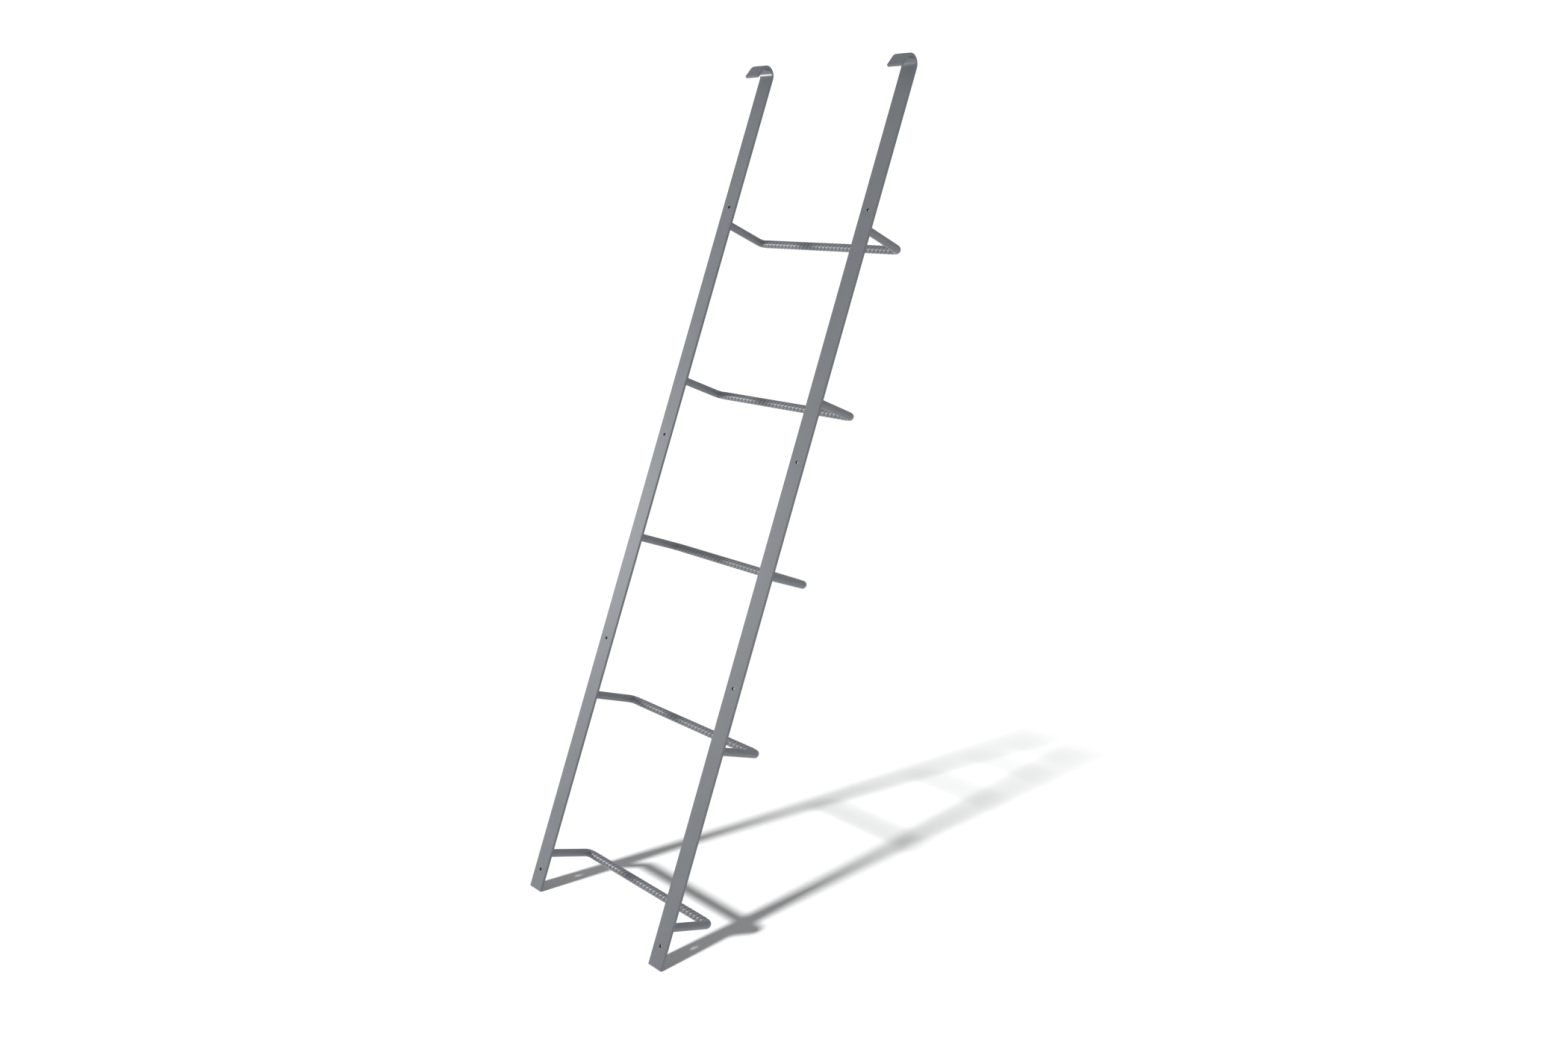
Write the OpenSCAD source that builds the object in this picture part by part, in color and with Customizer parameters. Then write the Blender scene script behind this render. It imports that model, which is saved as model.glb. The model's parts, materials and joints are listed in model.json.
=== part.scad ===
// Hook-on steel ladder: two flat-bar rails bent into hooks at the top,
// and five round-bar rungs bent into stand-off steps and welded to the rails' backs.
// Frame: the origin is the centre of the wall bolt pattern, on the rails' wall face.
// +X runs along the rungs, +Y points away from the wall, and +Z is up. Sizes are in mm.

/* [Rails] */
// Clear width between the two rails
clear_width = 304.8; // [250:0.1:450]
// Width of the flat bar
rail_w = 31.75; // [28:0.05:50]
// Thickness of the flat bar
rail_t = 4.76; // [4:0.01:8]
// Length of rail below the bottom rung's centre
foot_drop = 67.5; // [50:0.5:200]
// Height of the hook's top above the top rung's centre
head_rise = 299.3; // [150:0.1:400]

/* [Hooks] */
// Inside radius of the hook's bend
hook_r = 12.7; // [8:0.1:25]
// Angle that the bar is bent through
hook_bend = 158; // [120:1:175]
// Straight length of bar beyond the bend
hook_tip = 20; // [5:1:60]

/* [Rungs] */
// Spacing from one rung to the next
rung_pitch = 304.8; // [240:0.1:350]
// Diameter of the round bar
rung_d = 14.3; // [12:0.1:18]
// Distance from the wall face to the tread's centre line
standoff = 108; // [90:0.5:180]
// Bend radius at the round bar's centre line
rung_bend_r = 10; // [9.5:0.5:30]

/* [Grip ribs] */
// Spacing of the ribs rolled into each tread
rib_pitch = 9; // [6:0.05:12]
// Width of a rib at its foot
rib_foot = 4; // [2.5:0.1:4.5]
// Width of a rib's crest
rib_crest = 1.6; // [0.5:0.1:2.2]
// Height of a rib above the bar
rib_rise = 0.45; // [0.2:0.05:0.8]

/* [Welds] */
// Leg length of the fillet weld round each rung end
weld_leg = 4; // [2:0.5:4.5]

/* [Bolt holes] */
// Diameter of the wall bolt holes
bolt_hole_d = 5.2; // [4:0.1:10]
// Distance of the outer holes beyond the end rungs
outer_hole_gap = 30.4; // [20:0.1:36]
// Spacing between the two inner rows of holes
inner_hole_span = 393.7; // [200:0.1:400]

/* [Hidden] */
LEFT = -1;
RIGHT = 1;
FULL_TURN = 360;
ARC_STEPS = 64;
HOOK_STEPS = 40;
CUT_OVERRUN = 1;
RAIL_COLOUR = [0.56, 0.58, 0.60];
RUNG_COLOUR = [0.47, 0.49, 0.52];
WELD_COLOUR = [0.40, 0.42, 0.45];

rung_count = 5;
rail_x = (clear_width + rail_w) / 2;
rung_r = rung_d / 2;
top_rung_z = rung_pitch * (rung_count - 1) / 2;
foot_z = -top_rung_z - foot_drop;
hook_centre_z = top_rung_z + head_rise - rail_t - hook_r;
tread_length = 2 * (rail_x - rung_bend_r);
rib_count = floor((tread_length - rib_foot) / rib_pitch);
outer_hole_z = top_rung_z + outer_hole_gap;
inner_hole_z = inner_hole_span / 2;
hole_heights = [-outer_hole_z, -inner_hole_z, inner_hole_z, outer_hole_z];

// Height of a rung's centre line, counted from the bottom rung, which is 1
function rung_z(i) = rung_pitch * (i - 1) - top_rung_z;

// Distance along the tread to the middle of a rib, counted from 0
function rib_x(i) = (i - (rib_count - 1) / 2) * rib_pitch;

// Point at a radius and an angle about the hook's centre, as [Y, Z]
function hook_point(radius, angle) =
    [-hook_r + radius * cos(angle), hook_centre_z + radius * sin(angle)];

// Point reached from another by going straight on past the end of the hook's bend
function beyond_bend(point, distance) =
    point + distance * [-sin(hook_bend), cos(hook_bend)];

// Side view of the bent bar: up the outer face, round the hook, and back down the inner face
module bar_outline() {
    turns = [for (i = [0:HOOK_STEPS]) hook_bend * i / HOOK_STEPS];
    outer = [for (a = turns) hook_point(hook_r + rail_t, a)];
    inner = [for (i = [HOOK_STEPS:-1:0]) hook_point(hook_r, turns[i])];
    tip = [beyond_bend(outer[HOOK_STEPS], hook_tip), beyond_bend(inner[0], hook_tip)];
    polygon(concat([[rail_t, foot_z]], outer, tip, inner, [[0, foot_z]]));
}

// One rail, drilled for the wall bolts
module rail(side) {
    color(RAIL_COLOUR) translate([side * rail_x, 0, 0]) difference() {
        translate([-rail_w / 2, 0, 0]) rotate([90, 0, 90])
            linear_extrude(rail_w) bar_outline();
        for (z = hole_heights) {
            translate([0, -CUT_OVERRUN, z]) rotate([-90, 0, 0])
                cylinder(d = bolt_hole_d, h = rail_t + 2 * CUT_OVERRUN, $fn = ARC_STEPS);
        }
    }
}

// Smooth leg and bend at one end of a rung
module rung_leg(side) {
    leg_length = standoff - rung_bend_r - rail_t;
    translate([side * rail_x, rail_t, 0]) rotate([-90, 0, 0])
        cylinder(r = rung_r, h = leg_length, $fn = ARC_STEPS);
    translate([side * (rail_x - rung_bend_r), standoff - rung_bend_r, 0])
        rotate([0, 0, side == RIGHT ? 0 : 90])
            rotate_extrude(angle = 90, $fn = ARC_STEPS)
                translate([rung_bend_r, 0]) circle(r = rung_r, $fn = ARC_STEPS);
}

// Straight tread with its grip ribs, as a turned profile about X
module rung_tread() {
    half = tread_length / 2;
    crest_r = rung_r + rib_rise;
    ribs = [for (i = [0:rib_count - 1]) let (x = rib_x(i)) each [
        [rung_r, x - rib_foot / 2],
        [crest_r, x - rib_crest / 2],
        [crest_r, x + rib_crest / 2],
        [rung_r, x + rib_foot / 2]
    ]];
    translate([0, standoff, 0]) rotate([0, 90, 0]) rotate_extrude($fn = ARC_STEPS)
        polygon(concat([[0, -half], [rung_r, -half]], ribs, [[rung_r, half], [0, half]]));
}

// One rung, bent from a single round bar
module rung(i) {
    color(RUNG_COLOUR) translate([0, 0, rung_z(i)]) {
        rung_leg(LEFT);
        rung_leg(RIGHT);
        rung_tread();
    }
}

// Fillet weld that runs round one rung end on the rail's back
module weld(i, side) {
    bead = [
        [rung_r, 0],
        [rung_r + weld_leg, 0],
        [rung_r + 0.85 * weld_leg, 0.35 * weld_leg],
        [rung_r + 0.35 * weld_leg, 0.85 * weld_leg],
        [rung_r, weld_leg]
    ];
    color(WELD_COLOUR) translate([side * rail_x, rail_t, rung_z(i)]) rotate([-90, 0, 0])
        rotate_extrude(angle = FULL_TURN, $fn = ARC_STEPS) polygon(bead);
}

rail(LEFT);  // left_rail
rail(RIGHT);  // right_rail
for (i = [1:rung_count]) {
    rung(i);
    weld(i, LEFT);
    weld(i, RIGHT);
}
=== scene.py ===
import json
import math

import bmesh
import bpy
from mathutils import Matrix, Vector, noise


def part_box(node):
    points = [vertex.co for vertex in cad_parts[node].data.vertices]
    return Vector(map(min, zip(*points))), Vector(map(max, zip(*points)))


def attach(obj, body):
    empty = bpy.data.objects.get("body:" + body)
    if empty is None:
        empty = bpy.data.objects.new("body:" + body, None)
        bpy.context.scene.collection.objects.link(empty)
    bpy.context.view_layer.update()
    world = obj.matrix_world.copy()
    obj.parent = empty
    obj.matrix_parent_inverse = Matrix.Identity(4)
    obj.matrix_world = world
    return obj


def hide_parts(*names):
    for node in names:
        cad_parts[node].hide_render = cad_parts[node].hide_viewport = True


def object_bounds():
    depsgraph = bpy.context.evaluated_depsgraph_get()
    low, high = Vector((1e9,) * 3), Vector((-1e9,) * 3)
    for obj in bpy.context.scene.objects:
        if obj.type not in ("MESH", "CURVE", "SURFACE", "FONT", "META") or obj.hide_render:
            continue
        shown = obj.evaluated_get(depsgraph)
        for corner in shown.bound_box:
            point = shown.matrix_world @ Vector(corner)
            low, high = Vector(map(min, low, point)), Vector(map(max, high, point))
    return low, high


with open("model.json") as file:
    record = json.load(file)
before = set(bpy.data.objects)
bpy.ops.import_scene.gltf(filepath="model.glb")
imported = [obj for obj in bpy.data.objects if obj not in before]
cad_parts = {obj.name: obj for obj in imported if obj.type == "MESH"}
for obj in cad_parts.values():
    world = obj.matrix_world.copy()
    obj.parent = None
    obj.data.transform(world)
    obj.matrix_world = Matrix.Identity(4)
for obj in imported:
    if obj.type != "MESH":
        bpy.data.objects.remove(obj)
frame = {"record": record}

# Everything is in metres, in the CAD frame: +X along the rungs, +Y away from the wall, +Z up.
MM = 0.001
CAD_LOW, CAD_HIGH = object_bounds()

SIDES = {"left": -1, "right": 1}
RUNG_NUMBERS = range(1, 6)

# Rails: flat bar bent into a hook at the top
RAIL_LOW, RAIL_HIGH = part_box("right_rail")
RAIL_X = (RAIL_LOW.x + RAIL_HIGH.x) / 2
RAIL_WIDTH = RAIL_HIGH.x - RAIL_LOW.x
RAIL_THICKNESS = RAIL_HIGH.y
HOOK_INNER_RADIUS = 12.7 * MM
HOOK_BEND = math.radians(158)
HOOK_TIP_LENGTH = 20 * MM
HOOK_CENTRE_Z = RAIL_HIGH.z - RAIL_THICKNESS - HOOK_INNER_RADIUS
BAR_EDGE_RADIUS = 0.7 * MM
SMALLEST_EDGE_RADIUS = 0.15 * MM
SHEARED_EDGE_RADIUS = 0.45 * MM
SHANK_STEPS = 12
HOOK_STEPS = 56
HOLE_RIM = 0.25 * MM
HOLE_RIM_SHOULDER = 0.12 * MM
HOLE_OVERRUN = 1 * MM
HOLE_STEPS = 40

# Rungs: round bar with a rolled grip pattern on the tread, as slanting ribs that swell into lugs
RUNG_RADIUS = 7.15 * MM
RUNG_BEND_RADIUS = 10 * MM
STANDOFF = 108 * MM
CREST_RADIUS = 7.57 * MM  # the CAD crest is faceted, and a round one of 7.6 mm would leave its box
LUG_PITCH = 9 * MM
LUG_ROWS = 10
LUG_SWELL = 0.18
LUG_FADE = 3 * MM
RIB_STARTS = 3
LEG_STEPS = 10
BEND_STEPS = 14
STEPS_PER_LUG = 12
RUNG_STEPS_AROUND = 80

# Relief values that the coat turns into painted light and shade: painted shade near black in the
# bolt holes, painted shade in grooves, painted highlight on crests
DEEP, GROOVE, PLAIN, CREST = 0.0, 0.35, 0.5, 1.0

# Welds round the rung ends
WELD_LEG = 4 * MM
WELD_RIPPLES = 34
WELD_STEPS_PER_RIPPLE = 6
WELD_PROFILE_STEPS = 10
WELD_EMBED = 0.3 * MM


def rung_height(number):
    """Height of a rung's centre line, from its CAD node."""
    low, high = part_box(f"rung_{number}")
    return (low.z + high.z) / 2


# ---------------------------------------------------------------- meshes

def smooth_blend(x, low, high):
    """0 below low, 1 above high, and a smooth step between them."""
    t = min(1.0, max(0.0, (x - low) / (high - low)))
    return t * t * (3 - 2 * t)


def mesh_object(name, rings, close_loop=False):
    """A skin over rings of points of equal count, capped at both ends or closed into a loop."""
    bm = bmesh.new()
    rows = [[bm.verts.new(point) for point in ring] for ring in rings]
    count = len(rows[0])
    pairs = list(zip(rows, rows[1:]))
    if close_loop:
        pairs.append((rows[-1], rows[0]))
    for a, b in pairs:
        for i in range(count):
            j = (i + 1) % count
            bm.faces.new((a[i], a[j], b[j], b[i]))
    if not close_loop:
        bm.faces.new(list(reversed(rows[0])))
        bm.faces.new(rows[-1])
    bmesh.ops.recalc_face_normals(bm, faces=bm.faces)
    mesh = bpy.data.meshes.new(name)
    bm.to_mesh(mesh)
    bm.free()
    piece = bpy.data.objects.new(name, mesh)
    bpy.context.scene.collection.objects.link(piece)
    return piece


def shade(piece, angle=math.radians(32)):
    """Smooth shading that keeps real edges crisp."""
    piece.data.polygons.foreach_set("use_smooth", [True] * len(piece.data.polygons))
    piece.data.set_sharp_from_angle(angle=angle)


def apply_modifiers(piece):
    """Turns a piece's modifiers into its mesh."""
    depsgraph = bpy.context.evaluated_depsgraph_get()
    made = bpy.data.meshes.new_from_object(piece.evaluated_get(depsgraph))
    piece.modifiers.clear()
    piece.data = made


def store_values(piece, name, values):
    """Keeps a value for each point of a piece, for its coat's shader."""
    layer = piece.data.attributes.new(name, "FLOAT", "POINT")
    layer.data.foreach_set("value", values)


# ---------------------------------------------------------------- rails

def bar_section(inset=0.0, corner_steps=4):
    """Rounded rectangle of the flat bar as (across, through) points, drawn in by inset."""
    half_w = RAIL_WIDTH / 2 - inset
    half_t = RAIL_THICKNESS / 2 - inset
    radius = max(BAR_EDGE_RADIUS - inset, SMALLEST_EDGE_RADIUS)
    corners = [(1, 1, 0), (-1, 1, 90), (-1, -1, 180), (1, -1, 270)]
    points = []
    for sx, sy, start in corners:
        cx = sx * (half_w - radius)
        cy = sy * (half_t - radius)
        for k in range(corner_steps + 1):
            a = math.radians(start + 90 * k / corner_steps)
            points.append((cx + radius * math.cos(a), cy + radius * math.sin(a)))
    return points


def hook_path():
    """Stations (point, direction, through) along the bar's mid line, from foot to tip."""
    mid = RAIL_THICKNESS / 2
    bend_radius = HOOK_INNER_RADIUS + mid
    centre = Vector((0, -HOOK_INNER_RADIUS, HOOK_CENTRE_Z))
    up, out = Vector((0, 0, 1)), Vector((0, 1, 0))
    stations = []
    for k in range(SHANK_STEPS + 1):
        z = RAIL_LOW.z + (HOOK_CENTRE_Z - RAIL_LOW.z) * k / SHANK_STEPS
        stations.append((Vector((0, mid, z)), up, out))
    for k in range(1, HOOK_STEPS + 1):
        a = HOOK_BEND * k / HOOK_STEPS
        radial = Vector((0, math.cos(a), math.sin(a)))
        along = Vector((0, -math.sin(a), math.cos(a)))
        stations.append((centre + bend_radius * radial, along, radial))
    end, along, radial = stations[-1]
    stations.append((end + along * HOOK_TIP_LENGTH * 0.5, along, radial))
    stations.append((end + along * HOOK_TIP_LENGTH, along, radial))
    return stations


def rounded_end(point, inward, through, growing):
    """Rings that round a sheared end over, from the end inwards, or back out to it."""
    steps = 4
    rings = []
    for k in range(steps + 1):
        a = math.radians(90) * k / steps
        inset = SHEARED_EDGE_RADIUS * (1 - math.cos(a))
        back = SHEARED_EDGE_RADIUS * (1 - math.sin(a))
        rings.append((point + inward * back, through, inset))
    return list(reversed(rings)) if growing else rings


def rail_rings(x):
    """All rings of points of one rail."""
    stations = hook_path()
    foot, foot_along, foot_through = stations[0]
    tip, tip_along, tip_through = stations[-1]
    plan = rounded_end(foot, foot_along, foot_through, growing=True)
    plan += [(point, through, 0.0) for point, _, through in stations[1:-1]]
    plan += rounded_end(tip, -tip_along, tip_through, growing=False)
    across = Vector((x, 0, 0))
    rings = []
    for point, through, inset in plan:
        rings.append([across + point + Vector((u, 0, 0)) + through * v
                      for u, v in bar_section(inset)])
    return rings


def hole_cutter(x, z, radius):
    """A turned cutter for one bolt hole, with a small break at both rims."""
    near_face = [
        (-HOLE_OVERRUN, radius + HOLE_RIM + HOLE_OVERRUN),
        (0.0, radius + HOLE_RIM),
        (HOLE_RIM_SHOULDER, radius + 0.4 * HOLE_RIM),
        (HOLE_RIM, radius),
    ]
    far_face = [(RAIL_THICKNESS - y, r) for y, r in reversed(near_face)]
    rings = []
    for y, r in near_face + far_face:
        rings.append([Vector((x + r * math.cos(2 * math.pi * k / HOLE_STEPS), y,
                              z + r * math.sin(2 * math.pi * k / HOLE_STEPS)))
                      for k in range(HOLE_STEPS)])
    return mesh_object("hole_cutter", rings)


def bolt_holes():
    """(height, radius) of each wall bolt hole, from the record's two bolt patterns."""
    holes = []
    for mount in frame["record"]["mounts"]:
        if mount["kind"] == "bolt_pattern":
            half_span = mount["dims"]["spacing_y_mm"] * MM / 2
            radius = mount["dims"]["hole_r_mm"] * MM
            holes += [(-half_span, radius), (half_span, radius)]
    return holes


def bore_relief(point, x, holes):
    """Relief value of a point of a rail: deep on the wall of a bolt hole, where the coat paints
    shade near black.
    """
    for z, radius in holes:
        if math.hypot(point.x - x, point.z - z) < radius + 0.1 * MM:
            return DEEP
    return PLAIN


def bend_polish(point):
    """1 on the inside of the hook's bend, which forming leaves smoother, and 0 elsewhere."""
    radius = math.hypot(point.y + HOOK_INNER_RADIUS, point.z - HOOK_CENTRE_Z)
    above_bend = point.z > HOOK_CENTRE_Z - 0.1 * MM
    return 1.0 if above_bend and radius < HOOK_INNER_RADIUS + 0.2 * MM else 0.0


def build_rail(side_name):
    """One flat-bar rail with its hook, drilled for the wall bolts."""
    x = SIDES[side_name] * RAIL_X
    rail = mesh_object(f"{side_name}_rail_bar", rail_rings(x))
    holes = bolt_holes()
    cutters = [hole_cutter(x, z, radius) for z, radius in holes]
    for cutter in cutters:
        cut = rail.modifiers.new("hole", "BOOLEAN")
        cut.operation = "DIFFERENCE"
        cut.solver = "EXACT"
        cut.object = cutter
    apply_modifiers(rail)
    for cutter in cutters:
        bpy.data.objects.remove(cutter)
    points = [vertex.co for vertex in rail.data.vertices]
    # Deep values on the bolt hole walls give them painted shade, near black
    store_values(rail, "relief", [bore_relief(point, x, holes) for point in points])
    store_values(rail, "polish", [bend_polish(point) for point in points])
    shade(rail)
    weights = rail.modifiers.new("flat_faces", "WEIGHTED_NORMAL")
    weights.keep_sharp = True
    return rail


# ---------------------------------------------------------------- rungs

def rung_path(z):
    """Stations (point, direction, place on the tread or None) along a rung, from left to right."""
    stations = []
    start = Vector((-RAIL_X, RAIL_THICKNESS, z))
    leg_end = STANDOFF - RUNG_BEND_RADIUS
    for k in range(LEG_STEPS + 1):
        y = start.y + (leg_end - start.y) * k / LEG_STEPS
        stations.append((Vector((-RAIL_X, y, z)), Vector((0, 1, 0)), None))
    centre = Vector((-RAIL_X + RUNG_BEND_RADIUS, leg_end, z))
    for k in range(1, BEND_STEPS + 1):
        a = math.pi - math.pi / 2 * k / BEND_STEPS
        stations.append((centre + RUNG_BEND_RADIUS * Vector((math.cos(a), math.sin(a), 0)),
                         Vector((math.sin(a), -math.cos(a), 0)), None))
    half = RAIL_X - RUNG_BEND_RADIUS
    tread_steps = round(2 * half / (LUG_PITCH / STEPS_PER_LUG))
    for k in range(1, tread_steps):
        x = -half + 2 * half * k / tread_steps
        stations.append((Vector((x, STANDOFF, z)), Vector((1, 0, 0)), x))
    mirrored = [(Vector((-p.x, p.y, p.z)), Vector((d.x, -d.y, 0)), None)
                for p, d, _ in reversed(stations[:LEG_STEPS + BEND_STEPS + 1])]
    return stations + mirrored


def lug_height(x, angle):
    """Height of the rolled grip pattern, 0 to 1: slanting ribs that swell into rows of lugs."""
    rib = smooth_blend(math.cos(2 * math.pi * x / LUG_PITCH - RIB_STARTS * angle), -0.3, 0.6)
    return rib * (1 - LUG_SWELL * (1 - math.cos(LUG_ROWS * angle)))


def tread_fade(x):
    """1 along the tread, running out to 0 at its ends."""
    half = RAIL_X - RUNG_BEND_RADIUS
    return smooth_blend(half - abs(x), 0.0, LUG_FADE)


def build_rung(number):
    """One rung bent from round bar, with the grip pattern as real geometry on its tread."""
    z = rung_height(number)
    up = Vector((0, 0, 1))
    rings, relief = [], []
    for point, direction, x in rung_path(z):
        side = direction.cross(up)
        fade = 0.0 if x is None else tread_fade(x)
        ring = []
        for k in range(RUNG_STEPS_AROUND):
            angle = 2 * math.pi * k / RUNG_STEPS_AROUND
            height = lug_height(x, angle) if fade > 0 else 0.0
            radius = RUNG_RADIUS + (CREST_RADIUS - RUNG_RADIUS) * height * fade
            ring.append(point + radius * (math.cos(angle) * side + math.sin(angle) * up))
            # The relief value sets the coat's painted shade in grooves and painted highlight on
            # crests
            relief.append(PLAIN + fade * (GROOVE + (CREST - GROOVE) * height - PLAIN))
        rings.append(ring)
    rung = mesh_object(f"rung_{number}_bar", rings)
    store_values(rung, "relief", relief)
    shade(rung, math.radians(60))
    return rung


# ---------------------------------------------------------------- welds

def weld_profile(leg, ripple):
    """Section of the bead as (distance from the rung's axis, y) points."""
    profile = [(RUNG_RADIUS - WELD_EMBED, RAIL_THICKNESS - WELD_EMBED),
               (RUNG_RADIUS + leg, RAIL_THICKNESS - WELD_EMBED)]
    for j in range(WELD_PROFILE_STEPS + 1):
        a = math.pi / 2 * j / WELD_PROFILE_STEPS
        swell = 0.80 + 0.12 * math.sin(2 * a) + 0.05 * ripple * math.sin(2 * a)
        reach = leg * (1 - (1 - swell) * math.sin(2 * a))
        profile.append((RUNG_RADIUS + reach * math.cos(a), RAIL_THICKNESS + reach * math.sin(a)))
    profile.append((RUNG_RADIUS - WELD_EMBED, RAIL_THICKNESS + leg))
    return profile


def build_weld(number, side_name):
    """A fillet weld bead with ripples, run once round a rung end."""
    x = SIDES[side_name] * RAIL_X
    z = rung_height(number)
    seed = Vector((number * 3.1, SIDES[side_name] * 5.7, 0))
    around = WELD_RIPPLES * WELD_STEPS_PER_RIPPLE
    rings = []
    for k in range(around):
        turn = 2 * math.pi * k / around
        wander = noise.noise(seed + Vector((math.cos(turn), math.sin(turn), 0)) * 2)
        ripple = abs(math.sin(WELD_RIPPLES / 2 * turn + 2.5 * wander))
        leg = WELD_LEG * (0.9 + 0.07 * wander)
        rings.append([Vector((x + r * math.cos(turn), y, z + r * math.sin(turn)))
                      for r, y in weld_profile(leg, ripple)])
    weld = mesh_object(f"weld_{number}_{side_name}_bead", rings, close_loop=True)
    shade(weld, math.radians(50))
    return weld


# ---------------------------------------------------------------- materials

def node(tree, kind, **settings):
    """A new shader node with its sockets or properties set by name."""
    made = tree.nodes.new(kind)
    for key, value in settings.items():
        if key in made.inputs:
            made.inputs[key].default_value = value
        else:
            setattr(made, key, value)
    return made


def noise_node(tree, coordinates, scale, detail=3.0, roughness=0.5):
    """Noise at a scale given in cycles per metre."""
    made = node(tree, "ShaderNodeTexNoise", Scale=scale, Detail=detail, Roughness=roughness)
    tree.links.new(coordinates, made.inputs["Vector"])
    return made.outputs["Fac"]


def colour_ramp(tree, factor, stops):
    """A ramp from one factor to a colour, with (position, colour) stops."""
    made = tree.nodes.new("ShaderNodeValToRGB")
    ramp = made.color_ramp
    while len(ramp.elements) < len(stops):
        ramp.elements.new(0.5)
    for element, (position, colour) in zip(ramp.elements, stops):
        element.position = position
        element.color = (*colour, 1)
    tree.links.new(factor, made.inputs["Fac"])
    return made.outputs["Color"]


def ranged(tree, factor, low, high):
    """Maps 0..1 to low..high."""
    made = tree.nodes.new("ShaderNodeMapRange")
    made.inputs["To Min"].default_value = low
    made.inputs["To Max"].default_value = high
    tree.links.new(factor, made.inputs["Value"])
    return made.outputs["Result"]


def grey(value):
    """A neutral colour."""
    return (value, value, value)


COAT_DARK = (0.255, 0.268, 0.294)
COAT_LIGHT = (0.285, 0.300, 0.328)
CLOUD_SCALE = 22
GRIT_SCALE = 2600
PEEL_SCALE = 620
# Painted shade and highlight over the relief: near black in bolt holes, darker in grooves, lighter
# on crests
RELIEF_PAINTED_SHADE_AND_HIGHLIGHT = [(DEEP, grey(0.04)), (GROOVE, grey(0.80)), (PLAIN, grey(1.0)), (CREST, grey(1.36))]
POLISH_GAIN = 0.27


def powder_coat(name, shade_scale=1.0, gloss=(0.50, 0.56), over_relief=False):
    """Satin grey powder coat: orange peel, fine grit, slow changes of tone and of gloss."""
    material = bpy.data.materials.new(name)
    material.use_nodes = True
    tree = material.node_tree
    shader = tree.nodes["Principled BSDF"]
    shader.inputs["IOR"].default_value = 1.5
    place = tree.nodes.new("ShaderNodeTexCoord").outputs["Object"]
    cloud = noise_node(tree, place, CLOUD_SCALE, 4.0, 0.55)
    grit = noise_node(tree, place, GRIT_SCALE, 2.0, 0.6)
    peel = noise_node(tree, place, PEEL_SCALE, 2.0, 0.45)

    dark = [c * shade_scale for c in COAT_DARK]
    light = [c * shade_scale for c in COAT_LIGHT]
    tone = colour_ramp(tree, cloud, [(0.30, dark), (0.72, light)])
    speck = node(tree, "ShaderNodeMix", data_type="RGBA", blend_type="OVERLAY")
    speck.inputs[0].default_value = 0.22
    tree.links.new(tone, speck.inputs[6])
    tree.links.new(colour_ramp(tree, grit, [(0.3, grey(0.35)), (0.7, grey(0.65))]),
                   speck.inputs[7])
    colour = speck.outputs[2]
    # Painted shade in bolt holes and grooves and painted highlight on crests, from the relief
    # values
    if over_relief:
        relief = node(tree, "ShaderNodeAttribute", attribute_name="relief").outputs["Fac"]
        relief_shade_and_highlight = node(tree, "ShaderNodeMix", data_type="RGBA", blend_type="MULTIPLY")
        relief_shade_and_highlight.inputs[0].default_value = 1.0
        tree.links.new(colour, relief_shade_and_highlight.inputs[6])
        tree.links.new(colour_ramp(tree, relief, RELIEF_PAINTED_SHADE_AND_HIGHLIGHT), relief_shade_and_highlight.inputs[7])
        colour = relief_shade_and_highlight.outputs[2]
    tree.links.new(colour, shader.inputs["Base Color"])
    polish = node(tree, "ShaderNodeAttribute", attribute_name="polish").outputs["Fac"]
    smoother = node(tree, "ShaderNodeMath", operation="SUBTRACT")
    tree.links.new(ranged(tree, cloud, *gloss), smoother.inputs[0])
    tree.links.new(ranged(tree, polish, 0.0, POLISH_GAIN), smoother.inputs[1])
    tree.links.new(smoother.outputs["Value"], shader.inputs["Roughness"])

    fine = node(tree, "ShaderNodeBump", Strength=0.25, Distance=0.00005)
    tree.links.new(grit, fine.inputs["Height"])
    coarse = node(tree, "ShaderNodeBump", Strength=0.5, Distance=0.00008)
    tree.links.new(peel, coarse.inputs["Height"])
    tree.links.new(fine.outputs["Normal"], coarse.inputs["Normal"])
    tree.links.new(coarse.outputs["Normal"], shader.inputs["Normal"])
    return material


def pale_floor():
    """Matt white studio floor with a barely visible change of tone."""
    material = bpy.data.materials.new("studio_floor")
    material.use_nodes = True
    tree = material.node_tree
    shader = tree.nodes["Principled BSDF"]
    shader.inputs["Roughness"].default_value = 1.0
    shader.inputs["Specular IOR Level"].default_value = 0.0
    place = tree.nodes.new("ShaderNodeTexCoord").outputs["Object"]
    cloud = noise_node(tree, place, 2.0)
    tone = colour_ramp(tree, cloud, [(0.3, grey(0.63)), (0.7, grey(0.64))])
    tree.links.new(tone, shader.inputs["Base Color"])
    return material


# ---------------------------------------------------------------- stage

# Camera: angles in degrees, place in metres
CAMERA_AZIMUTH = 41.369
CAMERA_ELEVATION = -1.314
CAMERA_ROLL = -15.743
CAMERA_PLACE = (1.4954, -1.4964, 0.0471)
CAMERA_LENS = 27.395
SENSOR_WIDTH = 36.0

# Lights: the shadow light falls on the floor alone, and the soft boxes on the ladder alone
SHADOW_DIRECTION = (0.34, -0.94, 0.24)
SHADOW_STRENGTH = 17
SHADOW_ANGLE = 2.6
KEY_PLACE = (-1.95, -1.42, -0.05)
KEY_TARGET = (0, 0, -0.05)
KEY_SIZE = (0.25, 0.25)
KEY_POWER = 27
FILL_PLACE = (2.2, 1.6, 0.3)
FILL_TARGET = (0, 0, 0)
FILL_SIZE = (1.5, 1.5)
FILL_POWER = 12
LOW_PLACE = (-0.7, -1.6, -1.3)
LOW_TARGET = (0, 0, -0.6)
LOW_SIZE = (0.6, 0.6)
LOW_POWER = 2.4
AMBIENT = 0.39
BACKDROP = 1.1
FLOOR_SIZE = 80.0


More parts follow.
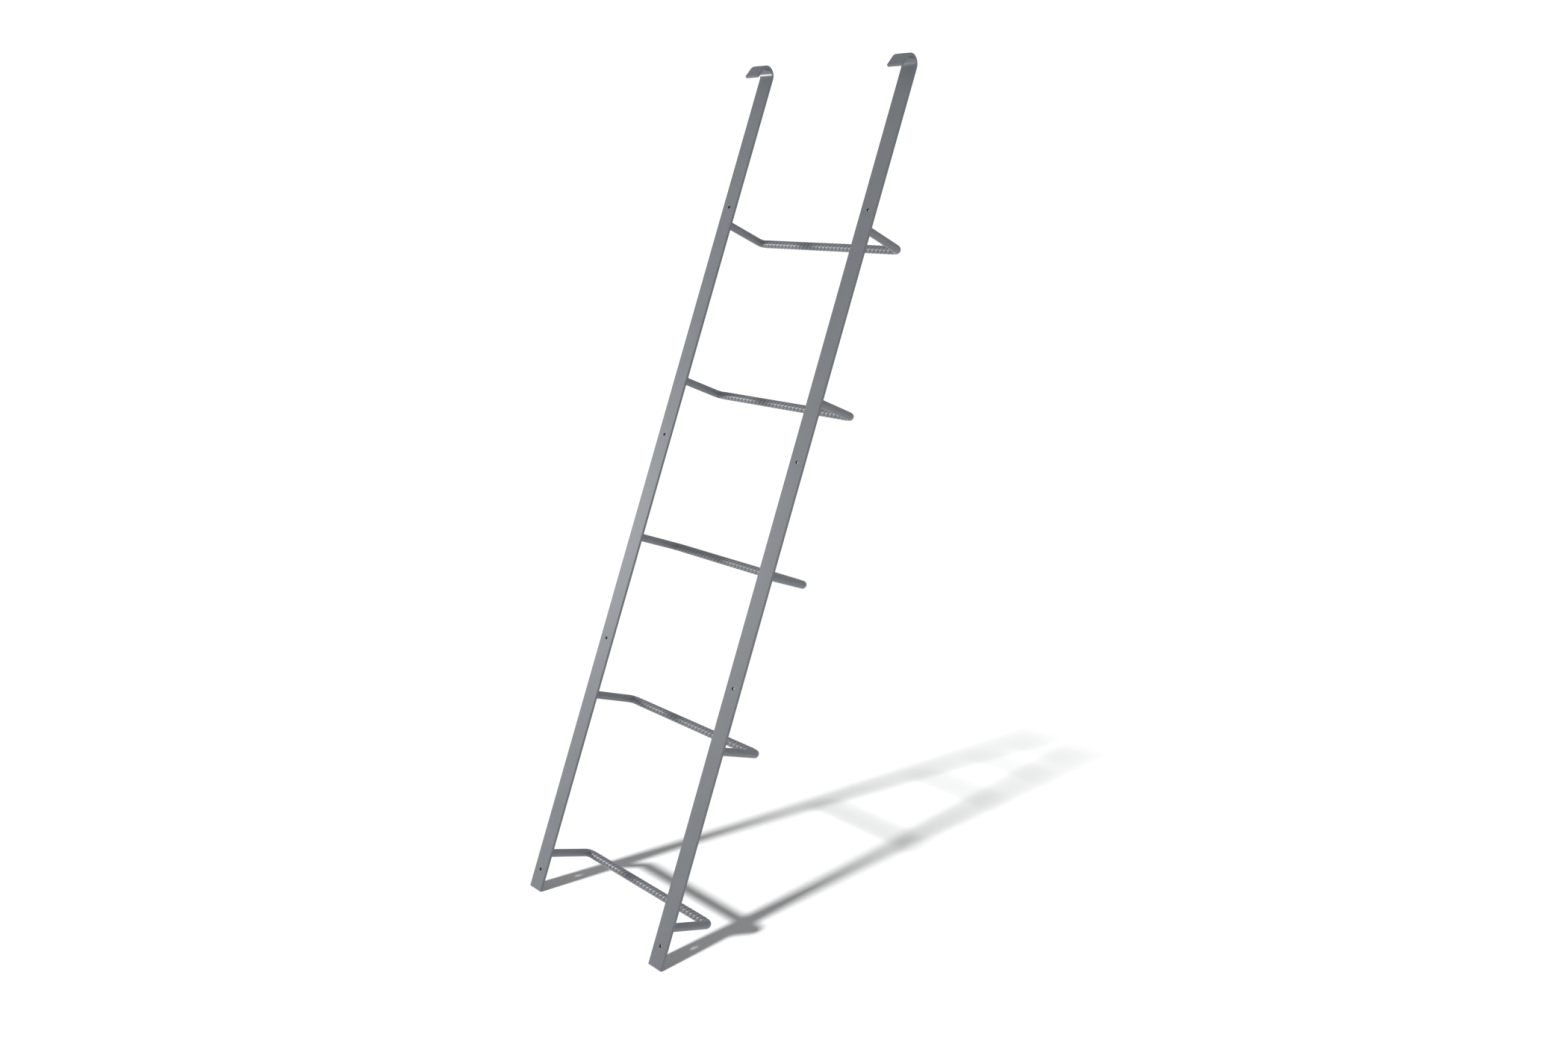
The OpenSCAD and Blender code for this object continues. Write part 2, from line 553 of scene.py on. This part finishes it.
def build_camera():
    """Camera at the photograph's place, looking across the ladder with the frame tipped over."""
    azimuth = math.radians(CAMERA_AZIMUTH)
    elevation = math.radians(CAMERA_ELEVATION)
    roll = math.radians(CAMERA_ROLL)
    forward = Vector((-math.sin(azimuth) * math.cos(elevation),
                      math.cos(azimuth) * math.cos(elevation), -math.sin(elevation)))
    level = Vector((math.cos(azimuth), math.sin(azimuth), 0))
    above = level.cross(forward)
    right = math.cos(roll) * level - math.sin(roll) * above
    up = math.sin(roll) * level + math.cos(roll) * above
    data = bpy.data.cameras.new("camera")
    data.lens = CAMERA_LENS
    data.sensor_width = SENSOR_WIDTH
    camera = bpy.data.objects.new("camera", data)
    camera.matrix_world = Matrix((right, up, -forward)).transposed().to_4x4()
    camera.location = CAMERA_PLACE
    bpy.context.scene.collection.objects.link(camera)
    bpy.context.scene.camera = camera


def build_floor():
    """Pale floor under the rails' feet."""
    half = FLOOR_SIZE / 2
    z = CAD_LOW.z
    mesh = bpy.data.meshes.new("floor")
    mesh.from_pydata([(-half, -half, z), (half, -half, z), (half, half, z), (-half, half, z)],
                     [], [(0, 1, 2, 3)])
    floor = bpy.data.objects.new("floor", mesh)
    floor.data.materials.append(pale_floor())
    bpy.context.scene.collection.objects.link(floor)
    floor.visible_diffuse = False
    return floor


def build_world():
    """White backdrop for the camera, with a dimmer even light from the same surroundings."""
    world = bpy.data.worlds.new("studio")
    bpy.context.scene.world = world
    world.use_nodes = True
    tree = world.node_tree
    tree.nodes.clear()
    seen = node(tree, "ShaderNodeBackground", Color=(1, 1, 1, 1), Strength=BACKDROP)
    lit = node(tree, "ShaderNodeBackground", Color=(0.97, 0.985, 1, 1), Strength=AMBIENT)
    rays = tree.nodes.new("ShaderNodeLightPath")
    mix = tree.nodes.new("ShaderNodeMixShader")
    output = tree.nodes.new("ShaderNodeOutputWorld")
    tree.links.new(rays.outputs["Is Camera Ray"], mix.inputs["Fac"])
    tree.links.new(lit.outputs["Background"], mix.inputs[1])
    tree.links.new(seen.outputs["Background"], mix.inputs[2])
    tree.links.new(mix.outputs["Shader"], output.inputs["Surface"])


def light_only(light, lit_objects, shading_objects=()):
    """Limits a light to some objects, and its shadows to those of some objects if any are given."""
    lit = bpy.data.collections.new(f"{light.name}_lit")
    for lit_object in lit_objects:
        lit.objects.link(lit_object)
    light.light_linking.receiver_collection = lit
    if shading_objects:
        blockers = bpy.data.collections.new(f"{light.name}_blockers")
        for shading_object in shading_objects:
            blockers.objects.link(shading_object)
        light.light_linking.blocker_collection = blockers


def distant_light(name, direction, strength, angle, pieces):
    """Far light that shines from a direction on some pieces."""
    data = bpy.data.lights.new(name, "SUN")
    data.energy = strength
    data.angle = math.radians(angle)
    lamp = bpy.data.objects.new(name, data)
    lamp.rotation_euler = Vector(direction).to_track_quat("Z", "Y").to_euler()
    bpy.context.scene.collection.objects.link(lamp)
    light_only(lamp, pieces)


def soft_box(name, place, target, size, power, pieces, glossy=True):
    """Rectangular studio light aimed at a point."""
    data = bpy.data.lights.new(name, "AREA")
    data.shape = "RECTANGLE"
    data.size, data.size_y = size
    data.energy = power
    box = bpy.data.objects.new(name, data)
    box.visible_glossy = glossy
    box.visible_camera = False
    box.location = place
    aim = Vector(place) - Vector(target)
    box.rotation_euler = aim.to_track_quat("Z", "Y").to_euler()
    bpy.context.scene.collection.objects.link(box)
    light_only(box, pieces, pieces)


# ---------------------------------------------------------------- assembly

def add_piece(piece, material, cad_node):
    """Gives a piece its finish and ties it to the CAD node that it stands for."""
    piece.data.materials.clear()
    piece.data.materials.append(material)
    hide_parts(cad_node)
    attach(piece, "root")
    return piece


def build_ladder():
    """All pieces of the ladder, each tied to its CAD node."""
    rail_coat = powder_coat("rail_coat", over_relief=True)
    rung_coat = powder_coat("rung_coat", 1.0, (0.28, 0.32), over_relief=True)
    weld_coat = powder_coat("weld_coat", 0.92)
    pieces = []
    for side_name in SIDES:
        pieces.append(add_piece(build_rail(side_name), rail_coat,
                                f"{side_name}_rail"))
    for number in RUNG_NUMBERS:
        pieces.append(add_piece(build_rung(number), rung_coat, f"rung_{number}"))
        for side_name in SIDES:
            pieces.append(add_piece(build_weld(number, side_name), weld_coat,
                                    f"weld_{number}_{side_name}"))
    return pieces


build_camera()
build_world()
floor = build_floor()
ladder = build_ladder()
distant_light("shadow_light", SHADOW_DIRECTION, SHADOW_STRENGTH, SHADOW_ANGLE, [floor])
soft_box("key_light", KEY_PLACE, KEY_TARGET, KEY_SIZE, KEY_POWER, ladder)
soft_box("side_fill", FILL_PLACE, FILL_TARGET, FILL_SIZE, FILL_POWER, ladder, glossy=False)
soft_box("low_fill", LOW_PLACE, LOW_TARGET, LOW_SIZE, LOW_POWER, ladder, glossy=False)
bpy.context.scene.view_settings.view_transform = "Standard"
